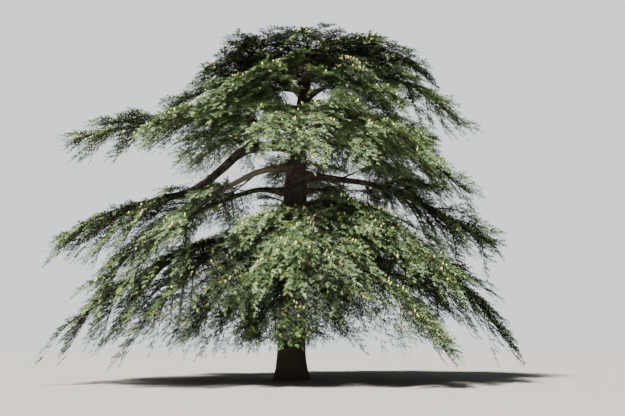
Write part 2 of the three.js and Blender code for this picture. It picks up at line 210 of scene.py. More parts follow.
def add_node(tree, kind, links=None, **settings):
    """Adds one node, with its settings, and links or sets its inputs by name or number."""
    node = tree.nodes.new(kind)
    for name, value in settings.items():
        setattr(node, name, value)
    for socket, source in (links or {}).items():
        if isinstance(source, bpy.types.NodeSocket):
            tree.links.new(source, node.inputs[socket])
        else:
            node.inputs[socket].default_value = source
    return node


# %% Sun and sky
SUN_FROM = Vector((-0.42, -0.36, 0.83))
SUN_WIDTH = math.radians(9)
SUN_STRENGTH = 16.5
SUN_COLOUR = (1.0, 0.96, 0.9)
SKY_STRENGTH = 0.2
BACKDROP_STRENGTH = 1.5

sun_light = bpy.data.lights.new("sun", "SUN")
sun_light.energy = SUN_STRENGTH
sun_light.angle = SUN_WIDTH
sun_light.color = SUN_COLOUR
sun = in_scene("sun", sun_light)
sun.rotation_euler = SUN_FROM.to_track_quat("Z", "Y").to_euler()

world = bpy.data.worlds.new("pale_studio")
world.use_nodes = True
sky_tree = world.node_tree
sky = sky_tree.nodes["Background"]
sky.inputs["Color"].default_value = linear("#DCE4EE")
sky.inputs["Strength"].default_value = SKY_STRENGTH
backdrop = add_node(sky_tree, "ShaderNodeBackground",
                    {"Color": linear("#E3E8EE"), "Strength": BACKDROP_STRENGTH})
seen = add_node(sky_tree, "ShaderNodeLightPath")
mixed = add_node(sky_tree, "ShaderNodeMixShader",
                 {0: seen.outputs["Is Camera Ray"], 1: sky.outputs[0], 2: backdrop.outputs[0]})
sky_tree.links.new(mixed.outputs[0], sky_tree.nodes["World Output"].inputs["Surface"])
bpy.context.scene.world = world
print("sun:", SUN_STRENGTH, "sky:", SKY_STRENGTH, "backdrop:", BACKDROP_STRENGTH)

# %% The floor
FLOOR_HALF = 260.0
FLOOR_HEIGHT = -0.004
FLOOR_CORNERS = ((-1, -1), (1, -1), (1, 1), (-1, 1))
FLOOR_ROUGHNESS = 0.9


def new_material(name):
    """A new material, with its node tree and its shader."""
    material = bpy.data.materials.new(name)
    material.use_nodes = True
    return material, material.node_tree, material.node_tree.nodes["Principled BSDF"]


floor_mesh = bpy.data.meshes.new("floor")
corners = [(x * FLOOR_HALF, y * FLOOR_HALF, FLOOR_HEIGHT) for x, y in FLOOR_CORNERS]
floor_mesh.from_pydata(corners, [], [(0, 1, 2, 3)])
floor = in_scene("floor", floor_mesh)
# Matt paint, which throws no glare up into the tree.
paint, _, shader = new_material("pale_matt_floor")
shader.inputs["Base Color"].default_value = linear("#94928C")
shader.inputs["Roughness"].default_value = FLOOR_ROUGHNESS
floor_mesh.materials.append(paint)
print("floor:", 2 * FLOOR_HALF, "m wide")

# %% [markdown]
# ## Bark relief
# Cedar bark is thick and grey-brown, broken into long upright plates by dark furrows. A bump
# map could draw them, but it would be gone from the outline and from the mesh itself. So
# the relief is real geometry: the radius of every ring is pushed in where a furrow runs. The
# furrows are the borders of a cell pattern, worked out once as numbers, and the same numbers
# are kept on the mesh, so that the material darkens exactly where the surface dips, which
# adds painted shade to the furrows.

# %% A cell pattern for furrows
RELIEF_SEED = 11
PLATE_INSET = (0.15, 0.1)  # a plate's middle keeps this far from its cell's first edges
PLATE_STRAY = (0.7, 0.8)  # and strays up to this much further, around and along
FURROW_EDGE = 0.32
FAR_AWAY = 9.0
# These only have to be large and unlike each other, so that neighbouring cells differ.
KEY_STEPS = (374761, 668265, 974711)
KEY_WAVES = ((12.9898, 43758.5453), (78.233, 24634.6345))


def stray(key, wave):
    """A number from 0 to 1 that looks random and is always the same for the same key."""
    step, stretch = wave
    return np.sin(key * step) * stretch % 1.0


def furrows(around, along, cells_around, seed):
    """1 in the middle of a bark plate and 0 in a furrow. around counts cells and wraps."""
    base_u, base_v = np.floor(around).astype(int), np.floor(along).astype(int)
    nearest = np.full(around.shape, FAR_AWAY)
    second = np.full(around.shape, FAR_AWAY)
    for du in (-1, 0, 1):
        for dv in (-1, 0, 1):
            u, v = base_u + du, base_v + dv
            key = (u % cells_around) * KEY_STEPS[0] + v * KEY_STEPS[1] + seed * KEY_STEPS[2]
            middle_u = u + PLATE_INSET[0] + PLATE_STRAY[0] * stray(key, KEY_WAVES[0])
            middle_v = v + PLATE_INSET[1] + PLATE_STRAY[1] * stray(key, KEY_WAVES[1])
            distance = np.hypot(middle_u - around, middle_v - along)
            second = np.minimum(second, np.maximum(distance, nearest))
            nearest = np.minimum(nearest, distance)
    return np.clip((second - nearest) / FURROW_EDGE, 0, 1)


# %% [markdown]
# ## Meshes from arrays
# A mesh is a list of points and a list of faces that count them. Shapes could be built with
# Blender's operators, but those depend on what is selected, and a list can be worked out
# from any formula. A face's points run anticlockwise as seen from outside, which is how
# Blender knows the outer side. A number that is kept for each point is an attribute, and a
# material or a node tree reads it by its name.

# %% Points, numbers and tubes
def make_object(name, points, faces, smooth=True):
    """A mesh object from arrays of points and faces, at the origin."""
    mesh = bpy.data.meshes.new(name)
    mesh.from_pydata(points.tolist(), [], faces)
    if smooth:
        mesh.shade_smooth()
    else:
        mesh.shade_flat()
    return in_scene(name, mesh)


def keep_numbers(mesh, name, values):
    """Stores one number for each point of a mesh under a name that a material can read."""
    attribute = mesh.attributes.new(name, "FLOAT", "POINT")
    attribute.data.foreach_set("value", np.asarray(values, np.float32))


def tube_faces(rings, sides, first=0):
    """Quads between rings of points, and one cap at each end, facing out."""
    faces = []
    for ring in range(rings - 1):
        low, high = first + ring * sides, first + (ring + 1) * sides
        for i in range(sides):
            j = (i + 1) % sides
            faces.append((low + i, low + j, high + j, high + i))
    faces.append(tuple(first + i for i in reversed(range(sides))))
    faces.append(tuple(first + (rings - 1) * sides + i for i in range(sides)))
    return faces


# %% [markdown]
# ## The trunk
# The trunk leans a little to the right near its top and flares into five buttresses at its
# foot. It could be a cylinder that is sculpted by hand, but rings of points that are worked
# out from the table keep its true size and can be changed later. Each ring's radius is the
# trunk's own, with the flare and the relief added. Towards the foot the bark is painted
# paler, as painted light that makes it look sunlit under the dark crown, so a second number,
# called pale, is kept on the points for the material.

# %% The trunk's axis and radius
def trunk_axis(height):
    """Points in the middle of the trunk."""
    lean = np.interp(height, TRUNK_STATIONS[:, 0], TRUNK_STATIONS[:, 2])
    return np.stack([lean, np.zeros_like(lean), height], -1)


def plain_radius(height):
    """The trunk's radius without its flare."""
    return np.interp(height, TRUNK_STATIONS[:, 0], TRUNK_STATIONS[:, 1])


def trunk_radius(height, angle):
    """The trunk's radius with its flare, which reaches out furthest on the buttresses."""
    lobe = 0.5 + 0.5 * np.cos(BUTTRESSES * angle + BUTTRESS_TURN)
    out = FLARE_OUT * (FLARE_BETWEEN + (1 - FLARE_BETWEEN) * lobe)
    return plain_radius(height) + out * np.exp(-height / FLARE_HEIGHT)


def waves(table, angle, along):
    """A sum of waves, each with its size and its pace around and along the wood."""
    return sum(size * np.sin(around * angle + pace * along) for size, around, pace in table)


# %% The trunk's surface
TRUNK_SIDES = 90
TRUNK_RINGS = 270
RING_CROWDING = 1.08  # above 1, the rings stand closer near the ground
PLATE_WIDTH = 0.15
PLATE_HEIGHT = 0.5
PLATE_WANDER = ((0.35, 1, 1.7), (0.2, 0, 4.1))
PLATE_STAGGER = ((0.3, 3, 0),)
FURROW_DEPTH = 0.035
FURROW_ROUNDING = 0.6
TRUNK_SWELL = ((0.018, 2, 0.9), (0.012, 5, -1.6))
FULL_RELIEF_RADIUS = 0.7
LEAST_RELIEF = 0.1
# Painted light: below this height the bark is painted paler, most at the ground.
FOOT_HEIGHT = 2.2
FOOT_PAINTED_LIGHT = 0.6

heights = TRUNK_STATIONS[-1, 0] * np.linspace(0, 1, TRUNK_RINGS) ** RING_CROWDING
angles = np.linspace(0, 2 * math.pi, TRUNK_SIDES, endpoint=False)
height_grid, angle_grid = np.meshgrid(heights, angles, indexing="ij")
lower_radius = TRUNK_STATIONS[2, 1]
plates_around = int(2 * math.pi * lower_radius / PLATE_WIDTH)
plate = furrows(
    angle_grid / (2 * math.pi) * plates_around + waves(PLATE_WANDER, angle_grid, height_grid),
    height_grid / PLATE_HEIGHT + waves(PLATE_STAGGER, angle_grid, height_grid),
    plates_around,
    RELIEF_SEED,
)
swell = waves(TRUNK_SWELL, angle_grid, height_grid)
thin_top = np.clip(plain_radius(height_grid) / FULL_RELIEF_RADIUS, LEAST_RELIEF, 1)
relief = (FURROW_DEPTH * (plate ** FURROW_ROUNDING - 1) + swell) * thin_top
radius_grid = trunk_radius(height_grid, angle_grid) + relief
trunk_points = trunk_axis(height_grid.ravel())
trunk_points[:, 0] += (radius_grid * np.cos(angle_grid)).ravel()
trunk_points[:, 1] += (radius_grid * np.sin(angle_grid)).ravel()
trunk = make_object("bark_trunk", trunk_points, tube_faces(TRUNK_RINGS, TRUNK_SIDES))
keep_numbers(trunk.data, "plate", plate.ravel())
# Painted light at the foot, which the bark's material mixes in as a light buff.
keep_numbers(trunk.data, "pale", FOOT_PAINTED_LIGHT * np.clip(1 - height_grid.ravel() / FOOT_HEIGHT, 0, 1))
print("trunk:", len(trunk.data.polygons), "faces")

# %% [markdown]
# ## Boughs
# A bough is one line, and everything that grows on it asks that line where it is. The line
# leaves the trunk, rises in an arch and falls to its tip. It could be a curve drawn by hand,
# but 41 of those would have to be kept in step with the solids, and a formula with a few
# sizes does that by itself. Real limbs also wander a little, so a slow seeded wave is laid
# over the arch that fades out at both ends, which leaves the reach as it was. The old limb on
# the left steps down in an S, which is a smooth step taken off its arch.

# %% Directions
UP = np.array([0.0, 0.0, 1.0])
NO_LENGTH = 1e-9


def unit(vectors):
    """The same directions, each one unit long."""
    return vectors / np.maximum(np.linalg.norm(vectors, axis=-1, keepdims=True), NO_LENGTH)


# %% The line that a bough follows
LIMB_SEED = 500
LIMB_SLENDERNESS = 0.02
LIMB_TAPER = 0.86
BEND_FROM = 0.22
BEND_TO = 0.52
SIDEWAYS_WAVES = (0.018, 5, 11)  # size as a share of the reach, slow pace, quick pace
UPRIGHT_WAVES = (0.013, 6, 13)
QUICK_PART = 0.5
NEAR_BY = 0.004


class LimbLine:
    """Points, directions and radii along one bough, for shares of its reach from 0 to 1."""

    def __init__(self, index, compass, base, reach, tip, lift, bend, stout):
        angle = math.radians(compass)
        self.out = np.array([math.cos(angle), math.sin(angle), 0.0])
        self.across = np.array([-self.out[1], self.out[0], 0.0])
        self.root = trunk_axis(np.array([base]))[0]
        self.reach, self.fall, self.lift, self.bend = reach, tip - base, lift, bend
        self.thick = reach * LIMB_SLENDERNESS * stout
        self.phase = np.random.default_rng(LIMB_SEED + index).uniform(0, 2 * math.pi, 4)

    def wander(self, share, size, slow, quick, slow_phase, quick_phase):
        """How far the limb strays to one side, which fades out at both ends."""
        fade = 4 * share * (1 - share)
        wave = np.sin(slow * share + slow_phase) + QUICK_PART * np.sin(quick * share + quick_phase)
        return size * self.reach * fade * wave

    def point(self, share):
        """Points on the limb: its arch, less its S bend, and with its wander."""
        share = np.asarray(share, float)
        sideways = self.wander(share, *SIDEWAYS_WAVES, *self.phase[:2])
        upright = self.wander(share, *UPRIGHT_WAVES, *self.phase[2:])
        bent = np.clip((share - BEND_FROM) / (BEND_TO - BEND_FROM), 0, 1)
        step = 2 * (1 - share) * bent ** 2 * (3 - 2 * bent)
        rise = self.fall * share ** 2 + 4 * self.lift * share * (1 - share) - self.bend * step + upright
        return (
            self.root
            + self.out * (self.reach * share)[..., None]
            + self.across * sideways[..., None]
            + UP * rise[..., None]
        )

    def frame(self, share):
        """The directions along the limb, to its side and to its upper side."""
        along = unit(self.point(share + NEAR_BY) - self.point(share - NEAR_BY))
        side = unit(np.cross(along, UP))
        return along, side, np.cross(side, along)

    def radius(self, share):
        return self.thick * (1 - LIMB_TAPER * np.asarray(share, float))


# %% One bough for each row
OWN_LIMB_FROM = 0.23  # a bough that is bare for longer than this share shows its limb


class Bough:
    """One row of the table, with its storey's sizes, its own sizes and its line."""

    def __init__(self, index, storey, place, compass, base, reach, tip, own):
        sizes = {**STOREYS[storey], **own}
        self.index, self.storey, self.place, self.reach = index, storey, place, reach
        self.bare, self.spread = sizes["bare"], sizes["spread"]
        self.droop, self.rise = sizes["droop"], sizes["rise"]
        # Painted light and shade: the storey's and the bough's tones, and a lighter inner part.
        self.tone = sizes["base_tone"] + sizes.get("tone", 0.0)
        self.inner_tone = sizes.get("inner", 0.0)
        self.branch_every = sizes["every"] / sizes.get("dense", 1.0)
        self.own_limb = self.bare > OWN_LIMB_FROM
        shape = sizes["lift"], sizes.get("bend", 0.0), sizes.get("stout", 1.0)
        self.line = LimbLine(index, compass, base, reach, tip, *shape)


boughs = [Bough(index, *row) for index, row in enumerate(BOUGHS)]
print("boughs with a bare limb:", sum(bough.own_limb for bough in boughs))

# %% [markdown]
# ## The boughs' wood
# Each bough is a tapering limb with a swollen collar where it leaves the trunk, and thinner
# bark than the trunk's. A curve with a bevel would give a smooth pipe. Rings of points along
# the line take the same furrows as the trunk does, and they start inside the trunk, so that
# no gap shows at the collar. One limb at the front is painted pale, as painted light that
# makes it look sunlit, which is a number on its points again, and it fades in outside the
# trunk.

# %% Skin for a limb
LIMB_SIDES = 12
LIMB_RING_EVERY = 0.2
LIMB_STARTS_INSIDE = 0.6  # as a share of the trunk's radius
LIMB_ENDS = 0.985
COLLAR_SWELL = 0.7
COLLAR_LENGTH = 0.45
LIMB_PLATES = 7
LIMB_PLATE_LENGTH = 0.42
LIMB_WANDER = ((0.4, 0, 30),)
LIMB_FURROWS = 0.1
LIMB_LUMPS = 0.05
LUMP_PACE = 2.3


def limb_skin(bough):
    """Rings of points along a bough, from inside the trunk to its tip, with bark relief."""
    line = bough.line
    trunk_here = float(plain_radius(line.root[2]))
    start = LIMB_STARTS_INSIDE * trunk_here / bough.reach
    rings = int(bough.reach / LIMB_RING_EVERY)
    share = np.linspace(start, LIMB_ENDS, rings)
    out = np.clip(share * bough.reach - trunk_here, 0, None)
    radius = line.radius(share) * (1 + COLLAR_SWELL * np.exp(-out / COLLAR_LENGTH))
    angle = np.linspace(0, 2 * math.pi, LIMB_SIDES, endpoint=False)
    share_grid, angle_grid = np.meshgrid(share, angle, indexing="ij")
    cell = furrows(
        angle_grid / (2 * math.pi) * LIMB_PLATES + waves(LIMB_WANDER, angle_grid, share_grid),
        share_grid * bough.reach / LIMB_PLATE_LENGTH,
        LIMB_PLATES,
        RELIEF_SEED + bough.index,
    )
    lumps = LIMB_LUMPS * np.sin(share_grid * bough.reach * LUMP_PACE + angle_grid + bough.index)
    grown = radius[:, None] * (1 + LIMB_FURROWS * (cell ** FURROW_ROUNDING - 1) + lumps)
    _, side, up = line.frame(share)
    points = (
        line.point(share)[:, None]
        + up[:, None] * (np.cos(angle_grid) * grown)[..., None]
        + side[:, None] * (np.sin(angle_grid) * grown)[..., None]
    )
    return points.reshape(-1, 3), cell.ravel(), rings


# %% All the limbs
# Painted light: this limb's bark is painted pale, as if sunlit, fading in over a metre beyond this distance
# from the upright axis.
PAINTED_LIGHT_LIMB = ("middle", "front_left")
PAINTED_LIGHT_FROM = 0.8

skin_points, skin_plates, skin_painted_light, skin_faces, first = [], [], [], [], 0
for bough in boughs:
    points, cell, rings = limb_skin(bough)
    skin_points.append(points)
    skin_plates.append(cell)
    away = np.hypot(points[:, 0], points[:, 1]) - PAINTED_LIGHT_FROM
    skin_painted_light.append(np.clip(away, 0, 1) * ((bough.storey, bough.place) == PAINTED_LIGHT_LIMB))
    skin_faces += [tuple(reversed(face)) for face in tube_faces(rings, LIMB_SIDES, first)]
    first += len(points)
limbs = make_object("bark_boughs", np.concatenate(skin_points), skin_faces)
keep_numbers(limbs.data, "plate", np.concatenate(skin_plates))
keep_numbers(limbs.data, "pale", np.concatenate(skin_painted_light))
print("boughs:", len(limbs.data.polygons), "faces")

# %% [markdown]
# ## Side branches
# Each mass of foliage is a plate that hangs a little at its edges. Side branches leave the
# bough to the left and the right, longest in the middle of the plate. Branchlets leave the
# side branches, and needles sit on the branchlets, by the same rule each time. They could be
# objects with parents, but there are tens of thousands. So every level is held as one set of
# arrays, a level grows from the last one in a single step, and a fixed seed makes the same
# tree each time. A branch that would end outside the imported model's box is shortened. Near
# the trunk the tips also stay higher, because the real tree shows its trunk's foot there.

# %% Lines as arrays
class Lines:
    """Many bent lines: their feet, directions, upper sides, lengths, sags, tones and radii."""

    COLUMNS = ("root", "ahead", "over", "length", "sag", "tone", "thick")

    def __init__(self, *arrays):
        for name, array in zip(self.COLUMNS, arrays):
            setattr(self, name, array)

    def __len__(self):
        return len(self.length)

    def point(self, pick, share):
        """Points on the picked lines. A line's tip hangs lower by its length times its sag."""
        run = (self.length[pick] * share)[:, None]
        return self.root[pick] + self.ahead[pick] * run - UP * run * (self.sag[pick] * share)[:, None]

    def direction(self, pick, share):
        return unit(self.ahead[pick] - UP * (2 * self.sag[pick] * share)[:, None])

    def upper(self, pick, share):
        """The upper side, which tips forward as the line droops."""
        ahead = self.direction(pick, share)
        over = self.over[pick]
        return unit(over - ahead * (over * ahead).sum(1)[:, None])

    def chosen(self, which):
        return Lines(*(getattr(self, name)[which] for name in self.COLUMNS))


def joined(sets):
    """Several sets of lines as one."""
    return Lines(*(np.concatenate([getattr(one, name) for one in sets]) for name in Lines.COLUMNS))


def turned(forward, side, up, angle, pitch):
    """Directions turned from forward towards side by an angle, and raised by a pitch."""
    angle, pitch = angle[:, None], pitch[:, None]
    flat = forward * np.cos(angle) + side * np.sin(angle)
    return unit(flat * np.cos(pitch) + up * np.sin(pitch))


def hands(number):
    """1 for a shoot on the right and -1 for one on the left, in turn."""
    return np.where(number % 2, 1.0, -1.0)[:, None]


# %% Where foliage may reach
TWIGS_OVER = 0.2
NEEDLES_OVER = 0.35
GROUND_CLEAR = 0.3


def within_reach(lines, over):
    """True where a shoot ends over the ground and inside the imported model's box, or nearly."""
    tips = lines.point(np.arange(len(lines)), 1.0)
    low, high = np.array(cad_box)
    return ((tips > low - over) & (tips < high + over)).all(1) & (tips[:, 2] > GROUND_CLEAR)


# %% How wide a plate of foliage is
PLATE_START = 0.18
PLATE_END = 0.75
TIP_LENGTH = 0.7
TIP_WIDTH = 0.4
TIP_ROUNDING = 0.7


def tip_start(bough):
    """The share of a bough's reach where its rounded tip begins."""
    return 1 - bough.spread * TIP_LENGTH / bough.reach


def plate_width(bough, at):
    """How long a side branch is that starts at some share of a bough's reach, on average."""
    begins = tip_start(bough)
    inner = np.clip((at - bough.bare) / (begins - bough.bare), 0, 1)
    outer = np.clip((1 - at) / (1 - begins), 0, 1)
    swell = np.sin(math.pi * (PLATE_START + (PLATE_END - PLATE_START) * inner))
    return bough.spread * swell * (TIP_WIDTH + (1 - TIP_WIDTH) * outer ** TIP_ROUNDING)


# %% How far a side branch hangs
SAG_INSIDE = 0.7
SAG_OUTWARDS = 0.7
SAG_JITTER = (0.6, 1.4)
SKIRT_OUT = (6.8, 10.6)  # between these distances along the bough,
SKIRT_LOW = (2.5, 1.4)  # the lowest height that a tip may hang to goes from one to the other


def branch_sag(bough, random, at, root, ahead, length):
    """More droop towards the bough's tip, but never below the skirt."""
    sag = bough.droop * (SAG_INSIDE + SAG_OUTWARDS * at) * random.uniform(*SAG_JITTER, len(at))
    lowest = np.interp(at * bough.reach, SKIRT_OUT, SKIRT_LOW)
    return np.minimum(sag, (root[:, 2] - lowest) / length + ahead[:, 2])


# %% Side branches along the boughs
BRANCH_SEED = 9000
SPACING = (0.1, 0.9)  # where a shoot stands in its own stretch of the line that bears it
FIRST_BRANCH = 0.5  # metres from the trunk's axis
LAST_BRANCH = 0.975
BRANCH_LENGTHS = (0.62, 1.02)
BRANCH_ANGLES = (66, 46, 30)  # degrees off the bough: inside, where its tip begins, at its end
ANGLE_JITTER = 9
HANGING_SHARE = 0.1
HANGING_PITCH = -0.45
LEAST_PITCH = -0.3
BRANCH_TONES = 0.05
BOUGH_TONES = 0.06
INNER_PART = 0.6
BRANCH_RADIUS = 0.016
RADIUS_PER_METRE = 0.014


def side_branches(bough):
    """The side branches of one bough, left and right in turn."""
    random = np.random.default_rng(BRANCH_SEED + bough.index)
    count = int((1 - bough.bare) * bough.reach / bough.branch_every)
    number = np.arange(count)
    at = bough.bare + (1 - bough.bare) * (number + random.uniform(*SPACING, count)) / count
    at = np.clip(at, FIRST_BRANCH / bough.reach, LAST_BRANCH)
    length = plate_width(bough, at) * random.uniform(*BRANCH_LENGTHS, count)
    degrees = np.interp(at, [bough.bare, tip_start(bough), 1], BRANCH_ANGLES)
    angle = np.radians(degrees + random.uniform(-ANGLE_JITTER, ANGLE_JITTER, count))
    hanging = random.random(count) < HANGING_SHARE
    pitch = np.where(hanging, HANGING_PITCH, random.uniform(LEAST_PITCH, bough.rise, count))
    root = bough.line.point(at)
    along, side, up = bough.line.frame(at)
    ahead = turned(along, side * hands(number), up, angle, pitch)
    sag = branch_sag(bough, random, at, root, ahead, length)
    # Painted light and shade: the bough's tone and its lighter inner part are added to a random tone for
    # each branch.
    tone = random.normal(0, BRANCH_TONES, count) + random.uniform(-BOUGH_TONES, BOUGH_TONES) + bough.tone
    tone += bough.inner_tone * np.clip(1 - at / INNER_PART, 0, 1)
    return Lines(root, ahead, up, length, sag, tone, BRANCH_RADIUS + RADIUS_PER_METRE * length)


# %% Shorten what reaches too far
SHORTENINGS = 5
SHORTER = 0.88

branches = joined([side_branches(bough) for bough in boughs])
for _ in range(SHORTENINGS):
    branches.length[~within_reach(branches, TWIGS_OVER)] *= SHORTER
print("side branches:", len(branches))

# %% [markdown]
# ## Offshoots, level by level
# On a side branch the branchlets stand left and right in turn, swept forwards and outwards
# to the light, and one ends at its tip. The sprays of needles do the same on a branchlet.
# One function grows any level from the level before, and a short rule gives its spacing,
# angles, pitches and sags. Each shoot is rolled a little about its own line, which keeps the
# plates from looking combed, and the tone brightens towards the tips, where the needles are
# young and stand more in the sun, so this is partly painted light.

# %% One level of shoots
LEAST_SHOOTS = 2
END_SHOOT_AT = 0.99
END_SHOOT_TURN = 0.2
SWEEP = 0.45
ROLL = 0.3
SHOOT_TONES = 0.025
SHOOT_RADIUS = 0.011
OFF_AXIS = (1e-6, 0, 0)  # so that a point on the axis has a direction too


def outward(places):
    """Level directions away from the trunk, towards the light."""
    return unit(places * (1, 1, 0) + OFF_AXIS)


def offshoots(parents, random, length_of, every, first, angles, pitches, sags, brighten):
    """The next level: shoots to the left and right of every parent, and one at its tip."""
    count = np.maximum(LEAST_SHOOTS, (parents.length / every).astype(int))
    pick = np.repeat(np.arange(len(count)), count)
    total = len(pick)
    number = np.arange(total) - np.repeat(np.cumsum(count) - count, count)
    share = first + (1 - first) * (number + random.uniform(*SPACING, total)) / count[pick]
    last = number == count[pick] - 1
    share[last] = END_SHOOT_AT
    forward, upper = parents.direction(pick, share), parents.upper(pick, share)
    side = unit(np.cross(forward, upper))
    degrees = np.interp(share, [0, 1], angles)
    angle = np.radians(degrees + random.uniform(-ANGLE_JITTER, ANGLE_JITTER, total))
    angle[last] *= END_SHOOT_TURN
    pitch = random.uniform(*pitches, total)
    root = parents.point(pick, share)
    ahead = unit(turned(forward, side * hands(number), upper, angle, pitch) + outward(root) * SWEEP)
    length = length_of(parents.length[pick], share, random)
    over = unit(upper + side * random.uniform(-ROLL, ROLL, total)[:, None])
    # Brighter towards the tips, where the needles are young, and painted light on the outer sprays; the
    # parents' tones carry painted light and shade too.
    tone = parents.tone[pick] + brighten * share + random.normal(0, SHOOT_TONES, total)
    sag = random.uniform(*sags, total)
    return Lines(root, ahead, over, length, sag, tone, np.full(total, SHOOT_RADIUS))


# %% [markdown]
# ## Cover shoots, forks and dead wood
# Three more kinds of shoot start on a bough itself. Short shoots on its upper side hide the
# wood inside the foliage. Forks leave its bare part and carry needles only at their ends.
# Dead branches, long since shaded out, stand bare on the inner part of the lower boughs.
# They differ only in where they start and in the ranges that their sizes are drawn from, so
# one function makes all three.

# %% Shoots that start on a bough
COVER = dict(angle=(-1.1, 1.1), pitch=(0.15, 0.6), length=(0.4, 0.85), sag=(0.3, 0.6))
FORK = dict(angle=(0.5, 0.9), pitch=(-0.35, 0.3), length=(0.14, 0.24), sag=(-0.1, 0.3))
DEAD = dict(angle=(-1.3, 1.3), pitch=(-0.8, 0.6), length=(0.6, 1.7), sag=(-0.15, 0.2))


def bough_shoots(bough, random, at, ranges, thick, tone=0.0, hand=1.0):
    """Shoots at some places along a bough, with their sizes drawn from a few ranges."""
    count = len(at)
    along, side, up = bough.line.frame(at)
    angle, pitch, length, sag = (random.uniform(*ends, count) for ends in ranges.values())
    ahead = turned(along, side * hand, up, angle, pitch)
    return Lines(bough.line.point(at), ahead, up, length, sag, np.full(count, tone), np.full(count, thick))


# %% Three kinds of them
COVER_SEED = 12000
COVER_EVERY = 0.11
COVER_FROM = 0.6  # metres from the trunk's axis
COVER_RADIUS = 0.012
COVER_TONE = 0.12
FORK_SEED = 15000
FORK_COUNT = 3
FORKS_BETWEEN = (0.35, 0.95)
FORK_STRAY = 0.02
FORK_RADIUS = (0.28, 0.42)  # as a share of the bough's
DEAD_SEED = 16000
DEAD_COUNT = 9
DEAD_FROM = 0.12
DEAD_BEYOND = 0.12
DEAD_RADIUS = 0.02


def cover_shoots(bough):
    """Short shoots on the upper side of a bough, which hide its wood in the foliage."""
    random = np.random.default_rng(COVER_SEED + bough.index)
    count = int((1 - bough.bare) * bough.reach / COVER_EVERY)
    at = np.sort(random.uniform(max(bough.bare, COVER_FROM / bough.reach), END_SHOOT_AT, count))
    return bough_shoots(bough, random, at, COVER, COVER_RADIUS, COVER_TONE)


def forks(bough):
    """Branches that leave the bare part of a bough, a share of its own length and radius."""
    random = np.random.default_rng(FORK_SEED + bough.index)
    count = FORK_COUNT if bough.own_limb else 0
    at = bough.bare * np.linspace(*FORKS_BETWEEN, count) + random.uniform(-FORK_STRAY, FORK_STRAY, count)
    lines = bough_shoots(bough, random, at, FORK, bough.line.radius(at), hand=hands(np.arange(count)))
    lines.length *= bough.reach
    lines.thick *= random.uniform(*FORK_RADIUS, count)
    return lines


def dead_branches(bough):
    """Short bare branches on the inner part of the lower boughs."""
    random = np.random.default_rng(DEAD_SEED + bough.index)
    count = DEAD_COUNT if bough.storey in ("middle", "low") else 0
    at = random.uniform(DEAD_FROM, bough.bare + DEAD_BEYOND, count)
    return bough_shoots(bough, random, at, DEAD, DEAD_RADIUS)


# %% Forks and dead wood
DEAD_TWIG_SEED = 78
DEAD_TWIG_LENGTHS = (0.2, 0.6)
DEAD_TWIGS = dict(every=0.2, first=0.25, angles=(60, 35), pitches=(-0.5, 0.5), sags=(-0.2, 0.3), brighten=0)


def dead_twig_length(parent, share, random):
    """Lengths of shoots, by the same three arguments as every level's lengths."""
    return random.uniform(*DEAD_TWIG_LENGTHS, len(parent))


forked = joined([forks(bough) for bough in boughs])
dead = joined([dead_branches(bough) for bough in boughs])
dead_twigs = offshoots(dead, np.random.default_rng(DEAD_TWIG_SEED), dead_twig_length, **DEAD_TWIGS)
print("forks:", len(forked), "dead branches:", len(dead), "with twigs:", len(dead_twigs))

# %% Lengths of branchlets and sprays
SHORT_BRANCHLET = 0.42
LONG_BRANCHLET = 1.3
BRANCHLET_GROWTH = 0.34  # more length for each metre of the side branch
BRANCHLET_ARC = (0.24, 0.6)  # where the growth's half wave begins, and how much of it is used
BRANCHLET_JITTER = (0.6, 1.15)
LONG_SPRAY = 0.5
SPRAY_SHORTENS = 0.18
SPRAY_JITTER = (0.75, 1.15)


def branchlet_length(parent, share, random):
    """Longest in the middle of a side branch, and longer on a long one."""
    begins, used = BRANCHLET_ARC
    longest = SHORT_BRANCHLET + BRANCHLET_GROWTH * parent * np.sin(math.pi * (begins + used * share))
    return np.minimum(longest, LONG_BRANCHLET) * random.uniform(*BRANCHLET_JITTER, len(parent))


def spray_length(parent, share, random):
    """Shorter towards the branchlet's tip."""
    return (LONG_SPRAY - SPRAY_SHORTENS * share) * random.uniform(*SPRAY_JITTER, len(parent))


# %% Branchlets and sprays
SHOOT_SEED = 77
BRANCHLETS = dict(every=0.22, angles=(56, 28), pitches=(-0.22, 0.22), sags=(0.05, 0.35), brighten=0.15)
SPRAYS = dict(every=0.138, first=0.02, angles=(50, 22), pitches=(-0.32, 0.26), sags=(0, 0.01), brighten=0.3)
BRANCHLETS_FROM = 0.06
FORK_BRANCHLETS_FROM = 0.45
BRANCHLET_TONES = 0.06

random = np.random.default_rng(SHOOT_SEED)
branchlets = joined([
    offshoots(branches, random, branchlet_length, first=BRANCHLETS_FROM, **BRANCHLETS),
    offshoots(forked, random, branchlet_length, first=FORK_BRANCHLETS_FROM, **BRANCHLETS),
    *(cover_shoots(bough) for bough in boughs),
])
branchlets = branchlets.chosen(within_reach(branchlets, TWIGS_OVER))
branchlets.tone += random.normal(0, BRANCHLET_TONES, len(branchlets))
sprays = offshoots(branchlets, random, spray_length, **SPRAYS)
print("branchlets:", len(branchlets), "sprays:", len(sprays))

# %% [markdown]
# ## Two node trees
# The first tree makes wood: it reads the collected lines as curves, takes each point's
# radius from the mesh and sweeps a small ring along them. The second tree makes whatever is
# scattered, such as sprays and cones: it sets one of three shapes on every point, aims it
# by two stored directions and scales it. Copies made one by one in Python would take minutes
# for so many. Both trees end in Realize Instances and Set Material, because what is only an
# instance is lost when the model is exported.

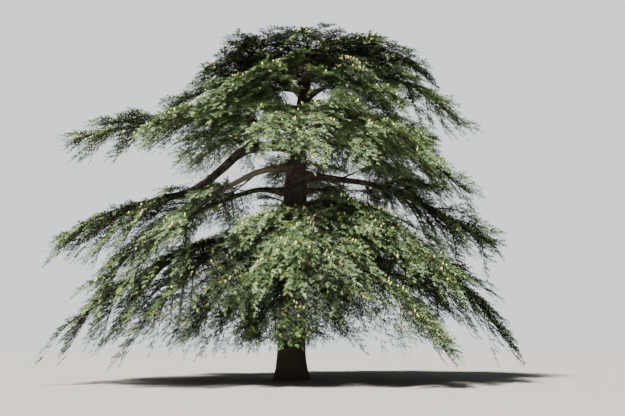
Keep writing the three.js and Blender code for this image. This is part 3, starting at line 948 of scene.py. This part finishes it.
# %% Inputs and ending of a tree
def tree_with_inputs(name, inputs):
    """A Geometry Nodes tree with the inputs asked for, and the identifiers of each."""
    tree = bpy.data.node_groups.new(name, "GeometryNodeTree")
    tree.interface.new_socket(name="Geometry", in_out="INPUT", socket_type="NodeSocketGeometry")
    tree.interface.new_socket(name="Geometry", in_out="OUTPUT", socket_type="NodeSocketGeometry")
    keys = {}
    for label, kind in inputs.items():
        socket = tree.interface.new_socket(name=label, in_out="INPUT", socket_type=kind)
        keys[label] = socket.identifier
    return tree, keys


def finish_tree(tree, entry, geometry):
    """The last nodes of both trees: real meshes with a material."""
    real = add_node(tree, "GeometryNodeRealizeInstances", {"Geometry": geometry})
    coloured = add_node(tree, "GeometryNodeSetMaterial",
                        {"Geometry": real.outputs[0], "Material": entry.outputs["Finish"]})
    add_node(tree, "NodeGroupOutput", {"Geometry": coloured.outputs[0]})


# %% Node tree for wood
wood_tree, wood_keys = tree_with_inputs("wood_from_lines", {
    "Sides": "NodeSocketInt",
    "Thickness": "NodeSocketFloat",
    "Finish": "NodeSocketMaterial",
})
entry = add_node(wood_tree, "NodeGroupInput")
thick = add_node(wood_tree, "GeometryNodeInputNamedAttribute", {"Name": "thick"}, data_type="FLOAT")
scaled = add_node(wood_tree, "ShaderNodeMath",
                  {0: thick.outputs[0], 1: entry.outputs["Thickness"]}, operation="MULTIPLY")
curves = add_node(wood_tree, "GeometryNodeMeshToCurve", {"Mesh": entry.outputs["Geometry"]})
ring = add_node(wood_tree, "GeometryNodeCurvePrimitiveCircle",
                {"Resolution": entry.outputs["Sides"], "Radius": 1.0})
swept = add_node(wood_tree, "GeometryNodeCurveToMesh", {
    "Curve": curves.outputs[0],
    "Profile Curve": ring.outputs[0],
    "Scale": scaled.outputs[0],
    "Fill Caps": True,
})
finish_tree(wood_tree, entry, swept.outputs[0])
print("wood tree:", len(wood_tree.nodes), "nodes")

# %% Node tree for scattered shapes
SHAPES = ("Shape A", "Shape B", "Shape C")
scatter_tree, scatter_keys = tree_with_inputs("shapes_on_points", {
    **{shape: "NodeSocketObject" for shape in SHAPES},
    "Size": "NodeSocketFloat",
    "Seed": "NodeSocketInt",
    "Finish": "NodeSocketMaterial",
})
entry = add_node(scatter_tree, "NodeGroupInput")
shelf = add_node(scatter_tree, "GeometryNodeJoinGeometry")
for shape in SHAPES:
    info = add_node(scatter_tree, "GeometryNodeObjectInfo",
                    {"Object": entry.outputs[shape], "As Instance": True})
    scatter_tree.links.new(info.outputs["Geometry"], shelf.inputs[0])
stored = {
    label: add_node(scatter_tree, "GeometryNodeInputNamedAttribute", {"Name": label}, data_type=kind)
    for label, kind in (("ahead", "FLOAT_VECTOR"), ("over", "FLOAT_VECTOR"), ("size", "FLOAT"))
}
aim = add_node(scatter_tree, "FunctionNodeAxesToRotation",
               {"Primary Axis": stored["ahead"].outputs[0], "Secondary Axis": stored["over"].outputs[0]},
               primary_axis="X", secondary_axis="Z")
grown_size = add_node(scatter_tree, "ShaderNodeMath",
                      {0: stored["size"].outputs[0], 1: entry.outputs["Size"]}, operation="MULTIPLY")
# Inputs 4 and 5 are the least and the greatest whole number, and output 2 is the one drawn.
pick = add_node(scatter_tree, "FunctionNodeRandomValue",
                {4: 0, 5: len(SHAPES) - 1, "Seed": entry.outputs["Seed"]}, data_type="INT")
placed = add_node(scatter_tree, "GeometryNodeInstanceOnPoints", {
    "Points": entry.outputs["Geometry"],
    "Instance": shelf.outputs[0],
    "Pick Instance": True,
    "Instance Index": pick.outputs[2],
    "Rotation": aim.outputs[0],
    "Scale": grown_size.outputs[0],
})
finish_tree(scatter_tree, entry, placed.outputs[0])
print("scatter tree:", len(scatter_tree.nodes), "nodes")


# %% Running a tree
TREE_NUMBERS = ("thick", "ahead", "over", "size")
AS_DRAWN = 1.0  # the lines already hold real lengths and radii


def run_tree(thing, tree, keys, values):
    """Sets the tree's inputs, takes its result as a plain mesh and removes the modifier."""
    modifier = thing.modifiers.new("grow", "NODES")
    modifier.node_group = tree
    for label, value in values.items():
        modifier[keys[label]] = value
    thing.update_tag()
    bpy.context.view_layer.update()
    evaluated = thing.evaluated_get(bpy.context.evaluated_depsgraph_get())
    result = bpy.data.meshes.new_from_object(evaluated)
    thing.modifiers.remove(modifier)
    old = thing.data
    thing.data = result
    result.name = thing.name
    bpy.data.meshes.remove(old)
    for name in TREE_NUMBERS:
        if name in result.attributes:
            result.attributes.remove(result.attributes[name])
    return thing


# %% [markdown]
# ## Bark finish
# Bark is dry, dead cork, so it is dull all over and its colour follows the relief: nearly
# black in the furrows, which is their own darker bark with painted shade laid over it,
# grey-brown on the plates, with a reddish tint where flakes have come off and grey patches of
# weathering. Where the number called pale is above zero, at the trunk's foot and on
# one limb at the front, a light buff is mixed in as painted light, so that these parts look
# sunlit. A picture of bark would have to be unwrapped and would show its seams. Noise on
# Object coordinates has no seams, and its scale is one over a real size.

# %% Sizes and tones of the bark's pattern
BARK_ROUGHNESS = 0.92
FLAKE_SIZE = 0.035
FLAKE_HEIGHT = 0.02
FLAKE_BUMP = 0.6
FLAKES_UPRIGHT = (1, 1, 0.3)
FLAKE_DETAIL = 4.0
PATCH_SIZE = 0.77
PATCH_DETAIL = 3.0
FURROW_TO_PLATE = {"From Min": 0.1, "From Max": 0.75}
PATCH_EDGES = {"From Min": 0.48, "From Max": 0.68, "To Max": 0.7}
# Painted light: how much of a light buff is mixed in where the painted light number is 1.
PAINTED_LIGHT_STRENGTH = 0.7
PAINTED_LIGHT_BARK = "#8E8470"
print("bark: flakes", round(1000 * FLAKE_SIZE), "mm, patches", round(1000 * PATCH_SIZE), "mm")


# %% Bark
def bark_material(name, furrow, ridge, tint, grey):
    """Fissured bark: furrows darkened with painted shade, grey-brown plates, reddish flakes, grey
    weathering, and a light buff as painted light.
    """
    material, tree, shader = new_material(name)
    where = add_node(tree, "ShaderNodeTexCoord").outputs["Object"]
    stretched = add_node(tree, "ShaderNodeMapping", {"Vector": where, "Scale": FLAKES_UPRIGHT})
    flakes = add_node(tree, "ShaderNodeTexNoise",
                      {"Vector": stretched.outputs[0], "Scale": 1 / FLAKE_SIZE, "Detail": FLAKE_DETAIL})
    patches = add_node(tree, "ShaderNodeTexNoise",
                       {"Vector": where, "Scale": 1 / PATCH_SIZE, "Detail": PATCH_DETAIL})
    relief = add_node(tree, "ShaderNodeAttribute", attribute_name="plate")
    depth = add_node(tree, "ShaderNodeMapRange", {"Value": relief.outputs["Fac"], **FURROW_TO_PLATE})
    grey_part = add_node(tree, "ShaderNodeMapRange", {"Value": patches.outputs[0], **PATCH_EDGES})
    pale = add_node(tree, "ShaderNodeAttribute", attribute_name="pale")
    painted_light_part = add_node(tree, "ShaderNodeMath",
                         {0: pale.outputs["Fac"], 1: PAINTED_LIGHT_STRENGTH}, operation="MULTIPLY")
    # A Mix node has its colours at inputs 6 and 7, and their blend at output 2.
    flaked = add_node(tree, "ShaderNodeMix",
                      {0: flakes.outputs[0], 6: linear(ridge), 7: linear(tint)}, data_type="RGBA")
    weathered = add_node(tree, "ShaderNodeMix",
                         {0: grey_part.outputs[0], 6: flaked.outputs[2], 7: linear(grey)}, data_type="RGBA")
    # Painted shade: the furrows take the nearly black furrow colour, over the bark's own darker furrows.
    furrow_shaded = add_node(tree, "ShaderNodeMix",
                        {0: depth.outputs[0], 6: linear(furrow), 7: weathered.outputs[2]}, data_type="RGBA")
    # Painted light: the light buff, mixed in by the painted light number, makes the trunk's foot and one
    # limb look sunlit.
    painted_lit = add_node(tree, "ShaderNodeMix",
                        {0: painted_light_part.outputs[0], 6: furrow_shaded.outputs[2], 7: linear(PAINTED_LIGHT_BARK)},
                        data_type="RGBA")
    bump = add_node(tree, "ShaderNodeBump",
                    {"Height": flakes.outputs[0], "Strength": FLAKE_BUMP, "Distance": FLAKE_HEIGHT})
    tree.links.new(painted_lit.outputs[2], shader.inputs["Base Color"])
    tree.links.new(bump.outputs[0], shader.inputs["Normal"])
    shader.inputs["Roughness"].default_value = BARK_ROUGHNESS
    return material


# Thick dead cork, split by the trunk's growth: dull, and nearly black between its plates, which is painted
# shade over the furrows' darker bark.
old_bark = bark_material("old_fissured_cedar_bark", "#0E0A08", "#40362E", "#37271F", "#585047")
# The same cork, thinner and more in the weather: greyer and paler plates, and the same painted shade in its
# furrows.
limb_bark = bark_material("weathered_limb_bark", "#0E0B09", "#453B33", "#372D26", "#655C51")
trunk.data.materials.append(old_bark)
limbs.data.materials.append(limb_bark)
print("bark:", old_bark.name, limb_bark.name)

# %% [markdown]
# ## Plain finishes
# A needle has a thin wax bloom that scatters light, so it is rather rough and has a trace of
# pale sheen. Live twigs are grey-brown, dead ones are bleached, and cones are pale tan, dry
# and matt. No spray has a pattern of its own: it is too small for one to show. What the eye
# sees is that the tint changes from spray to spray, partly at random and partly as painted
# light and shade, so the greens are six plain materials and a few sprays are straw-coloured.

# %% Twigs and cones
SOFT_SPECULAR = 0.3
SHEEN_ROUGHNESS = 0.4


def plain_material(name, colour, roughness, sheen=0.0, sheen_tint="#FFFFFF"):
    """A finish whose colour has no pattern of its own."""
    material, _, shader = new_material(name)
    shader.inputs["Base Color"].default_value = linear(colour)
    shader.inputs["Roughness"].default_value = roughness
    shader.inputs["Specular IOR Level"].default_value = SOFT_SPECULAR
    shader.inputs["Sheen Weight"].default_value = sheen
    shader.inputs["Sheen Roughness"].default_value = SHEEN_ROUGHNESS
    shader.inputs["Sheen Tint"].default_value = linear(sheen_tint)
    return material


# Young bark, smooth but dull, which stays dark among the needles.
twig_wood = plain_material("grey_brown_twig_bark", "#3B3129", 0.85)
# Wood that has shed its bark: bleached, dry and light against the shade.
dead_twig_wood = plain_material("bleached_dead_twig", "#A08E7A", 0.9)
# Dry scales, pressed close: pale tan with no shine.
cone_skin = plain_material("dry_cone_scales", "#D9D191", 0.8)
print("plain finishes:", twig_wood.name, dead_twig_wood.name, cone_skin.name)

# %% The greens of the needles
NEEDLE_ROUGHNESS = 0.62
BLOOM_SHEEN = 0.03
BLOOM_TINT = "#D8E6E4"
STRAW_SHEEN = 0.06
STRAW_TINT = "#E6E6D0"
# Dealt by tone, the darker tints are painted shade and the paler ones painted sunlight, with the wax
# bloom's own paleness in the palest.
NEEDLE_TINTS = [  # name, colour, and the share of all sprays that take it, darkest first
    ("shaded", "#172110", 0.16),
    ("deep", "#26351A", 0.19),
    ("moss", "#394C28", 0.20),
    ("grey_green", "#51683E", 0.19),
    ("blue_grey", "#678059", 0.15),
    ("pale_bloom", "#7F9868", 0.11),
]
# The wax on a needle: a soft highlight and a trace of pale sheen over a dull green.
needle_materials = {
    name: plain_material(f"waxy_needles_{name}", colour, NEEDLE_ROUGHNESS, BLOOM_SHEEN, BLOOM_TINT)
    for name, colour, _ in NEEDLE_TINTS
}
# Old needles before they drop: yellow, with a warmer sheen.
straw_needles = plain_material(
    "waxy_needles_yellow_green", "#7F8443", NEEDLE_ROUGHNESS, STRAW_SHEEN, STRAW_TINT)
print("finishes:", len(bpy.data.materials))

# %% [markdown]
# ## Needles
# A cedar's needles stand in tufts on short shoots, and from a few steps away each shoot looks
# like a flat feather with pointed fingers. It could be a cloud of strands, but tens of
# thousands of feathers have to fit, so each has only eleven faces: five fingers down both
# sides and one at the tip, every finger tipped another way so that light breaks up on it.
# The node tree sets the whole feather in place, so its shape can be changed here without
# touching the tree that carries it. Real shoots are about half as long as these feathers,
# which stand for a few of them at once.

# %% The spray of needles
SPRAY_SEED = 70
FINGERS = 5
FINGER_BASE = 0.072  # half of a finger's width at its foot
FINGERS_FROM = 0.08
FINGERS_OVER = 0.86
FINGER_STRAY = 0.02
FINGER_STAGGER = 0.04
FINGER_ANGLE = 58
FINGERS_CLOSE_BY = 30
FINGER_ANGLE_JITTER = 8
FINGER_LENGTH = (0.44, 0.1, 0.36)  # at the foot, how it grows and how it then falls off
FINGER_LENGTH_JITTER = (0.75, 1.2)
FINGER_TIPS = (-0.26, 0.1)
END_FINGER = [(0.7, 0.05, 0), (0.7, -0.05, 0), (1.12, 0, -0.04)]


def spray_shape(name, seed):
    """A feather of pointed fingers along X, one unit long, with its upper side along Z."""
    random = np.random.default_rng(seed)
    start, growth, fall = FINGER_LENGTH
    points, faces = [], []
    for hand in (1, -1):
        for number in range(FINGERS):
            share = number / FINGERS
            middle = FINGERS_FROM + FINGERS_OVER * share + random.uniform(-FINGER_STRAY, FINGER_STRAY)
            middle += FINGER_STAGGER * hand
            turn = random.uniform(-FINGER_ANGLE_JITTER, FINGER_ANGLE_JITTER)
            angle = math.radians(FINGER_ANGLE - FINGERS_CLOSE_BY * share + turn)
            length = (start + growth * share - fall * share ** 2) * random.uniform(*FINGER_LENGTH_JITTER)
            tip = (middle + length * math.cos(angle), hand * length * math.sin(angle))
            first = len(points)
            points += [(middle - FINGER_BASE, 0, 0), (middle + FINGER_BASE, 0, 0)]
            points.append((*tip, random.uniform(*FINGER_TIPS)))
            faces.append((first, first + 1, first + 2) if hand > 0 else (first + 1, first, first + 2))
    first = len(points)
    points += END_FINGER
    faces.append((first + 1, first + 2, first))
    return make_object(name, np.array(points), faces, smooth=False)


spray_shapes = [spray_shape(f"spray_shape_{k}", SPRAY_SEED + k) for k in range(len(SHAPES))]
print("spray:", len(spray_shapes[0].data.polygons), "faces")


# %% Scattering shapes
def points_object(name, lines):
    """Points that the scatter tree reads, with a direction, an upper side and a size each."""
    mesh = bpy.data.meshes.new(name)
    mesh.vertices.add(len(lines))
    mesh.vertices.foreach_set("co", lines.root.astype(np.float32).ravel())
    for label, values in (("ahead", lines.ahead), ("over", lines.over)):
        attribute = mesh.attributes.new(label, "FLOAT_VECTOR", "POINT")
        attribute.data.foreach_set("vector", values.astype(np.float32).ravel())
    keep_numbers(mesh, "size", lines.length)
    return in_scene(name, mesh)


def scatter(name, lines, shapes, finish, seed):
    """Sets one of three shapes on every chosen point, as a plain mesh."""
    values = {**dict(zip(SHAPES, shapes)), "Size": AS_DRAWN, "Seed": seed, "Finish": finish}
    return run_tree(points_object(name, lines), scatter_tree, scatter_keys, values)


# %% [markdown]
# ## Dealing out the sprays
# In the sun the outer sprays of a cedar look pale blue-green, and those under other foliage
# nearly black, and the tints paint that light and shade into the needles. Every spray has a
# tone: its storey's, its bough's and its branch's, brighter towards the tips; the storey's
# and the bough's parts are painted light and shade. As painted shade, the tone is lowered
# where other sprays stand close above, which is counted in upright columns half a metre wide.
# The sprays are then sorted by tone, and each tint takes its share of the row, so the shares
# stay right whatever the tones are: the darkest tints are painted shade and the palest
# painted sunlight. Light alone would do some of this, but a soft sun leaves the depths of
# such an open crown too bright. A few sprays anywhere are straw-coloured old needles.

# %% Shade and clearance
SHADE_CELL = 0.5
SHADE_DEPTH = 1.2
SHADE_FULL = 9
CELLS_ACROSS = 1000
OVER_ANY_TREE = 100.0
WOOD_CLEAR = 0.12


def stacked(places):
    """A number for each point that sorts by upright column first, and by height inside it."""
    cell = np.floor(places[:, :2] / SHADE_CELL).astype(int) + CELLS_ACROSS // 2
    return (cell[:, 0] * CELLS_ACROSS + cell[:, 1]) * OVER_ANY_TREE + places[:, 2]


def shaded(places):
    """How much foliage stands close above each point, from 0 in the open to 1 in full shade."""
    stack, own = np.sort(stacked(sprays.root)), stacked(places)
    above = np.searchsorted(stack, own + SHADE_DEPTH) - np.searchsorted(stack, own, side="right")
    return np.minimum(above / SHADE_FULL, 1.0)


def clear_of_trunk(places):
    """True where a point stands outside the trunk."""
    axis = trunk_axis(places[:, 2])
    away = np.hypot(places[:, 0] - axis[:, 0], places[:, 1] - axis[:, 1])
    return (away > plain_radius(places[:, 2]) + WOOD_CLEAR) | (places[:, 2] > TRUNK_STATIONS[-1, 0])


# %% Sorting them by tone
DEAL_SEED = 31
STRAW_SHARE = 0.05
STRAW_SEED = 9
SHADE_TONE = 0.22
SPRAY_TONES = 0.02
IN_THE_OPEN = 0.2

deal = np.random.default_rng(DEAL_SEED)
free = clear_of_trunk(sprays.root) & within_reach(sprays, NEEDLES_OVER)
straw = free & (deal.random(len(free)) < STRAW_SHARE)
shade = shaded(sprays.root)
open_part = float((shade < IN_THE_OPEN).mean())
print("shade over a spray: mean", round(float(shade.mean()), 2), "open", round(open_part, 2))
# Painted shade: a spray with others close above it is dealt a darker tint.
tones = sprays.tone - SHADE_TONE * shade + deal.normal(0, SPRAY_TONES, len(free))
darkest_first = np.flatnonzero(free & ~straw)
darkest_first = darkest_first[np.argsort(tones[darkest_first])]
ends = np.cumsum([share for _, _, share in NEEDLE_TINTS]) * len(darkest_first)
dealt = np.split(darkest_first, ends.astype(int)[:-1])

# %% Setting them in place
pieces = [scatter("needles_yellow_green", sprays.chosen(straw), spray_shapes, straw_needles, STRAW_SEED)]
for number, ((name, _, _), mine) in enumerate(zip(NEEDLE_TINTS, dealt)):
    finish = needle_materials[name]
    pieces.append(scatter(f"needles_{name}", sprays.chosen(mine), spray_shapes, finish, number))
for piece in pieces:
    print(piece.name, len(piece.data.polygons), "faces")
for shape in spray_shapes:
    bpy.data.objects.remove(shape)

# %% [markdown]
# ## Cones
# Old cedars carry barrel-shaped cones that stand upright in groups on the upper side of the
# shoots. A cone is a turned shape, so a screw of its outline would do. It is so small and so
# often repeated that a short lathe of five sides and three rings is enough, and the scatter
# tree that sets the needles sets the cones as well. They stand where little foliage is over
# them, so they line the upper edges of the shelves.

# %% One cone
CONE_SIDES = 5
CONE_OUTLINE = ((0.0, 0.16), (0.45, 0.33), (1.0, 0.12))  # height, radius
CONE_GIRTHS = (0.9, 1.0, 1.12)


def cone_shape(name, girth):
    """A barrel along X, one unit long, that is pinched at both ends."""
    angle = np.linspace(0, 2 * math.pi, CONE_SIDES, endpoint=False)
    points = [(height, girth * radius * math.cos(a), girth * radius * math.sin(a))
              for height, radius in CONE_OUTLINE for a in angle]
    return make_object(name, np.array(points), tube_faces(len(CONE_OUTLINE), CONE_SIDES))


cone_shapes = [cone_shape(f"cone_shape_{k}", girth) for k, girth in enumerate(CONE_GIRTHS)]
print("cone:", len(cone_shapes[0].data.polygons), "faces")

# %% Where the cones stand
CONE_GROUPS = 1500
CONES_IN_GROUP = 3
CONE_SIZES = (0.12, 0.165)
CONE_LEAN = 0.22
CONE_SEAT = 0.03
CONE_PLACES = (0.15, 0.9)
CONE_HEIGHTS = (2, 5, 9, 15, 21)
CONE_CHANCES = (0.1, 0.6, 0.9, 1.0, 0.5)  # at those heights
BEARING_LENGTH = 0.3
BEARING_PITCH = -0.45
BEARING_FROM = 1.8
ASIDE = np.array([0.3, 1.0, 0.0])


def cone_places(random):
    """Upright cones in groups along the branchlets of the outer, upper parts."""
    height = branchlets.root[:, 2]
    from_trunk = np.hypot(branchlets.root[:, 0], branchlets.root[:, 1])
    sunny = (branchlets.length > BEARING_LENGTH) & (branchlets.ahead[:, 2] > BEARING_PITCH)
    sunny &= from_trunk > BEARING_FROM
    likely = np.where(sunny, np.interp(height, CONE_HEIGHTS, CONE_CHANCES), 0)
    likely *= (1 - shaded(branchlets.point(np.arange(len(height)), 0.5))) ** 2
    pick = random.choice(len(height), CONE_GROUPS, replace=False, p=likely / likely.sum())
    pick = np.repeat(pick, random.integers(1, CONES_IN_GROUP + 1, CONE_GROUPS))
    count = len(pick)
    share = random.uniform(*CONE_PLACES, count)
    upright = unit(UP + random.normal(0, CONE_LEAN, (count, 3)))
    turn = unit(np.cross(upright, ASIDE))
    size = random.uniform(*CONE_SIZES, count)
    foot = branchlets.point(pick, share) + UP * CONE_SEAT
    unused = np.zeros(count)
    return Lines(foot, upright, turn, size, unused, unused, unused)


# %% Setting the cones
CONE_PLACES_SEED = 5
CONE_PICK_SEED = 3

cone_spots = cone_places(np.random.default_rng(CONE_PLACES_SEED))
cone_spots = cone_spots.chosen(clear_of_trunk(cone_spots.root))
cones = scatter("cones", cone_spots, cone_shapes, cone_skin, CONE_PICK_SEED)
cones.data.shade_smooth()
for shape in cone_shapes:
    bpy.data.objects.remove(shape)
print("cones:", len(cone_spots), "with", len(cones.data.polygons), "faces")

# %% [markdown]
# ## Wood from the lines
# The same lines that carry the needles become wood. A side branch is five to eighteen
# centimetres thick at its foot and a branchlet about two. Both are mostly hidden, so a few
# sides are enough, and the thinner the wood, the fewer sides and steps it gets. Each line is
# drawn as a chain of points with a radius for each, and the wood tree sweeps its ring along
# them all at once.

# %% Wood from the lines
WOOD_TAPER = 0.85
WOODS = (  # name, lines, steps, sides, finish
    ("forks", forked, 8, 8, limb_bark),
    ("side_branches", branches, 5, 4, twig_wood),
    ("fine_twigs", branchlets, 1, 3, twig_wood),
    ("dead_wood", joined([dead, dead_twigs]), 3, 4, dead_twig_wood),
)


def lines_object(name, lines, steps):
    """One mesh of separate polylines, with a radius for each point."""
    count = len(lines)
    pick = np.repeat(np.arange(count), steps + 1)
    share = np.tile(np.linspace(0, 1, steps + 1), count)
    points = lines.point(pick, share)
    start = np.arange(count * (steps + 1)).reshape(count, steps + 1)
    edges = np.stack([start[:, :-1].ravel(), start[:, 1:].ravel()], -1)
    mesh = bpy.data.meshes.new(name)
    mesh.from_pydata(points.tolist(), edges.tolist(), [])
    keep_numbers(mesh, "thick", lines.thick[pick] * (1 - WOOD_TAPER * share))
    return in_scene(name, mesh)


wood = []
for name, lines, steps, sides, finish in WOODS:
    values = {"Sides": sides, "Thickness": AS_DRAWN, "Finish": finish}
    piece = run_tree(lines_object(name, lines, steps), wood_tree, wood_keys, values)
    piece.data.shade_smooth()
    wood.append(piece)
    print(name, len(piece.data.polygons), "faces")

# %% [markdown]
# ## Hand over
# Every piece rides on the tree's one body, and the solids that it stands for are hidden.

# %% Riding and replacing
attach(trunk, "root")
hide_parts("trunk")
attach(limbs, "root")
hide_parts(*BOUGH_NODES)
for piece in [*pieces, *wood, cones]:
    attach(piece, "root")
    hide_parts(*MASS_NODES)

everything = [trunk, limbs, cones, *pieces, *wood]
triangles = sum(len(face.vertices) - 2 for piece in everything for face in piece.data.polygons)
print("triangles in all:", triangles)
